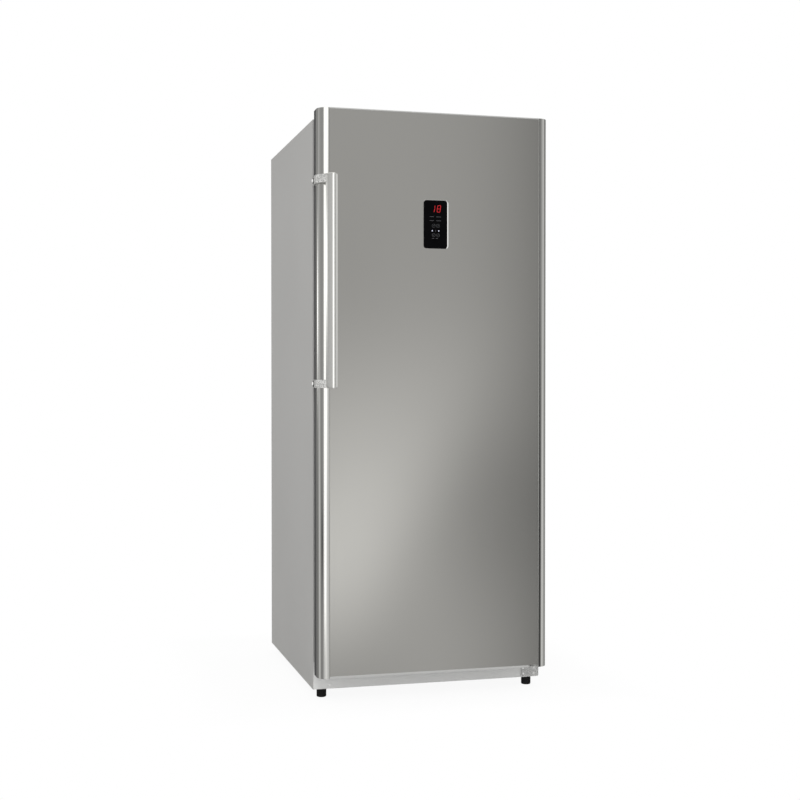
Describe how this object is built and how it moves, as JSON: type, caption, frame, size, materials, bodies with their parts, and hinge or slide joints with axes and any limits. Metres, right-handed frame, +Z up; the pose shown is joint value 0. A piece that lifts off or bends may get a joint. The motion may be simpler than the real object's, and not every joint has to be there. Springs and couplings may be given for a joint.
{
  "type": "upright freezer",
  "caption": "Tall one-door upright freezer: grey case, brushed steel door hinged on the right with a side handle and a digital display, shelves, drawers and door bins inside.",
  "frame": {"origin": "on the floor under the middle of the case's width and of the whole depth, handle included", "axes": "+Z up, +X to the right seen from the front (the hinge side), +Y from the door to the back"},
  "size_m": [0.71, 0.852, 1.721],
  "materials": {
    "case_paint": "satin",
    "base_steel": "satin",
    "back_steel": "satin",
    "liner_white": "gloss",
    "foam": "matte",
    "cover_white": "satin",
    "fin_aluminium": "satin",
    "heater_steel": "satin",
    "motor_grey": "satin",
    "fan_white": "satin",
    "lamp_lens": "satin",
    "shelf_pane": "gloss",
    "trim_white": "gloss",
    "drawer_clear": "gloss",
    "hinge_paint": "satin",
    "pin_steel": "polished",
    "screw_steel": "polished",
    "bush_plastic": "satin",
    "foot_black": "satin",
    "roller_black": "satin",
    "bracket_zinc": "satin",
    "compressor_black": "satin",
    "grommet_rubber": "matte",
    "relay_black": "satin",
    "tray_grey": "satin",
    "copper": "satin",
    "door_steel": "satin",
    "column_alu": "satin",
    "cap_grey": "satin",
    "frame_dark": "satin",
    "gasket_grey": "matte",
    "rail_light": "satin",
    "handle_alu": "satin",
    "strap_alu": "satin",
    "cap_black": "gloss",
    "bezel_silver": "gloss",
    "display_black": "gloss",
    "board_green": "satin",
    "digit_red": "gloss",
    "mark_white": "matte"
  },
  "bodies": {
    "cabinet": {"outer_case": "case_paint", "front_rail": "rail_light", "base_plate": "base_steel", "back_panel": "back_steel", "inner_liner": "liner_white", "foam_insulation": "foam", "evaporator_cover": "cover_white", "evaporator_coil": "fin_aluminium", "defrost_heater": "heater_steel", "fan_motor": "motor_grey", "lamp_cover": "lamp_lens", "shelf_glass_1": "shelf_pane", "shelf_glass_2": "shelf_pane", "shelf_glass_3": "shelf_pane", "shelf_glass_4": "shelf_pane", "shelf_trims": "trim_white", "drawer_runners": "trim_white", "top_hinge": "hinge_paint", "top_hinge_cover": "cap_grey", "lower_hinge": "hinge_paint", "hinge_pins": "pin_steel", "case_screws": "screw_steel", "roller_brackets": "bracket_zinc", "compressor": "compressor_black", "compressor_mounts": "grommet_rubber", "relay_cover": "relay_black", "drip_tray": "tray_grey", "filter_drier": "copper", "refrigerant_pipes": "copper", "rear_cover": "back_steel", "cord_gland": "relay_black"},
    "door": {"door_skin": "door_steel", "door_column_left": "column_alu", "door_column_right": "column_alu", "door_top_cap": "cap_grey", "door_bottom_cap": "cap_grey", "door_frame": "frame_dark", "door_foam": "foam", "door_liner": "liner_white", "door_gasket": "gasket_grey", "hinge_bushes": "bush_plastic", "handle_bar": "handle_alu", "handle_straps": "strap_alu", "handle_screws": "cap_black", "display_frame": "bezel_silver", "display_glass": "display_black", "display_board": "board_green", "display_digits": "digit_red", "display_marks": "mark_white"},
    "fan": {"fan_blade": "fan_white"},
    "foot_left": {"foot_left": "foot_black"},
    "foot_right": {"foot_right": "foot_black"},
    "roller_left": {"roller_left": "roller_black"},
    "roller_right": {"roller_right": "roller_black"},
    "drawer_lower": {"drawer_lower": "drawer_clear"},
    "drawer_upper": {"drawer_upper": "drawer_clear"},
    "bin_1": {"door_bin_1": "drawer_clear"},
    "bin_2": {"door_bin_2": "drawer_clear"},
    "bin_3": {"door_bin_3": "drawer_clear"},
    "bin_4": {"door_bin_4": "drawer_clear"}
  },
  "joints": [
    {"name": "door_swing", "type": "hinge", "parent": "cabinet", "child": "door", "pos_m": [0.319, -0.356, 0], "axis": [0, 0, 1], "range_deg": [0, 135]},
    {"name": "drawer_lower_slide", "type": "slide", "parent": "cabinet", "child": "drawer_lower", "axis": [0, -1, 0], "range_m": [0, 0.271]},
    {"name": "drawer_upper_slide", "type": "slide", "parent": "cabinet", "child": "drawer_upper", "axis": [0, -1, 0], "range_m": [0, 0.271]},
    {"name": "bin_1_lift", "type": "slide", "parent": "door", "child": "bin_1", "axis": [0, 0, 1], "range_m": [0, 0.03]},
    {"name": "bin_2_lift", "type": "slide", "parent": "door", "child": "bin_2", "axis": [0, 0, 1], "range_m": [0, 0.03]},
    {"name": "bin_3_lift", "type": "slide", "parent": "door", "child": "bin_3", "axis": [0, 0, 1], "range_m": [0, 0.03]},
    {"name": "bin_4_lift", "type": "slide", "parent": "door", "child": "bin_4", "axis": [0, 0, 1], "range_m": [0, 0.03]},
    {"name": "fan_spin", "type": "hinge", "parent": "cabinet", "child": "fan", "pos_m": [0, 0.32, 0.722], "axis": [0, 1, 0], "continuous": true},
    {"name": "foot_left_turn", "type": "hinge", "parent": "cabinet", "child": "foot_left", "pos_m": [-0.32, -0.277, 0.02], "axis": [0, 0, 1], "continuous": true},
    {"name": "foot_right_turn", "type": "hinge", "parent": "cabinet", "child": "foot_right", "pos_m": [0.32, -0.277, 0.02], "axis": [0, 0, 1], "continuous": true},
    {"name": "roller_left_spin", "type": "hinge", "parent": "cabinet", "child": "roller_left", "pos_m": [-0.304, 0.366, 0.02], "axis": [1, 0, 0], "continuous": true},
    {"name": "roller_right_spin", "type": "hinge", "parent": "cabinet", "child": "roller_right", "pos_m": [0.304, 0.366, 0.02], "axis": [1, 0, 0], "continuous": true}
  ],
  "couplings": [
    {"joint": "drawer_lower_slide", "follows": "door_swing", "m_per_rad": 0.115},
    {"joint": "drawer_upper_slide", "follows": "door_swing", "m_per_rad": 0.115}
  ]
}
